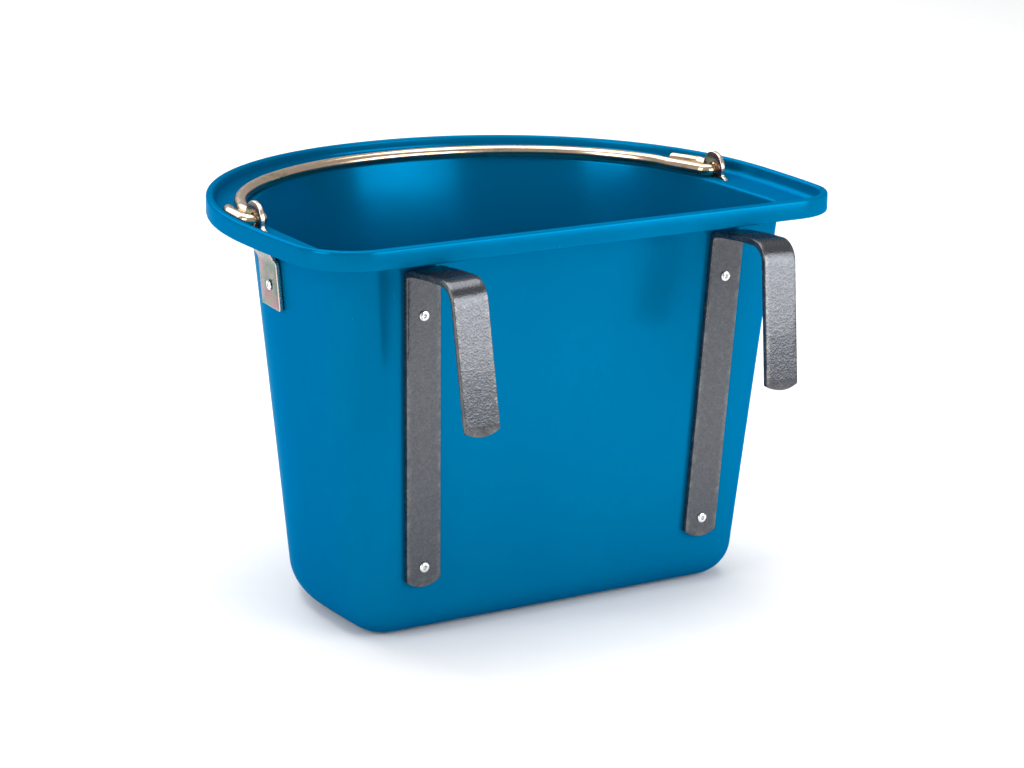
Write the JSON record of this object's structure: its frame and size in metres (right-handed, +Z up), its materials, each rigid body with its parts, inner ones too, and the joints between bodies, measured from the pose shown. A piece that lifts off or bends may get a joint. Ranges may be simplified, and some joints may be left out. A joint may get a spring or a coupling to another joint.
{
  "type": "feed bucket",
  "caption": "Hook-over stable feed bucket: D-shaped blue plastic tub with a wide lipped rim, riveted flat-bar hooks on its flat back and a folding wire bail.",
  "frame": {"origin": "middle of the base's flat underside", "axes": "+X to the right as seen from behind the flat back wall, +Y from the flat back wall to the curved front, +Z up"},
  "size_m": [0.3688, 0.3352, 0.2579],
  "materials": {
    "blue_plastic": "glossy moulded polypropylene, bright blue, lightly scuffed",
    "hammered_grey_paint": "dark grey hammer-finish paint on flat steel bar",
    "passivated_wire": "bright yellow-passivated zinc on drawn wire",
    "passivated_plate": "iridescent yellow-passivated zinc on sheet steel",
    "aluminium_rivet": "bright aluminium",
    "steel_pin": "plain steel, broken off inside the rivet",
    "zinc_washer": "zinc-plated steel"
  },
  "bodies": {
    "bucket": {"bucket_shell": "blue_plastic", "hook_left": "hammered_grey_paint", "hook_right": "hammered_grey_paint", "bail_bracket_left": "passivated_plate", "bail_bracket_right": "passivated_plate", "rivet_hook_left_lower": "aluminium_rivet", "pin_hook_left_lower": "steel_pin", "washer_hook_left_lower": "zinc_washer", "rivet_hook_left_upper": "aluminium_rivet", "pin_hook_left_upper": "steel_pin", "washer_hook_left_upper": "zinc_washer", "rivet_hook_right_lower": "aluminium_rivet", "pin_hook_right_lower": "steel_pin", "washer_hook_right_lower": "zinc_washer", "rivet_hook_right_upper": "aluminium_rivet", "pin_hook_right_upper": "steel_pin", "washer_hook_right_upper": "zinc_washer", "rivet_bracket_left": "aluminium_rivet", "pin_bracket_left": "steel_pin", "washer_bracket_left": "zinc_washer", "rivet_bracket_right": "aluminium_rivet", "pin_bracket_right": "steel_pin", "washer_bracket_right": "zinc_washer"},
    "bail": {"bail_handle": "passivated_wire"}
  },
  "joints": [
    {"name": "bail_swing", "type": "hinge", "parent": "bucket", "child": "bail", "pos_m": [0, -0.0085, 0.2459], "axis": [1, 0, 0], "range_deg": [0, 175.4]}
  ]
}
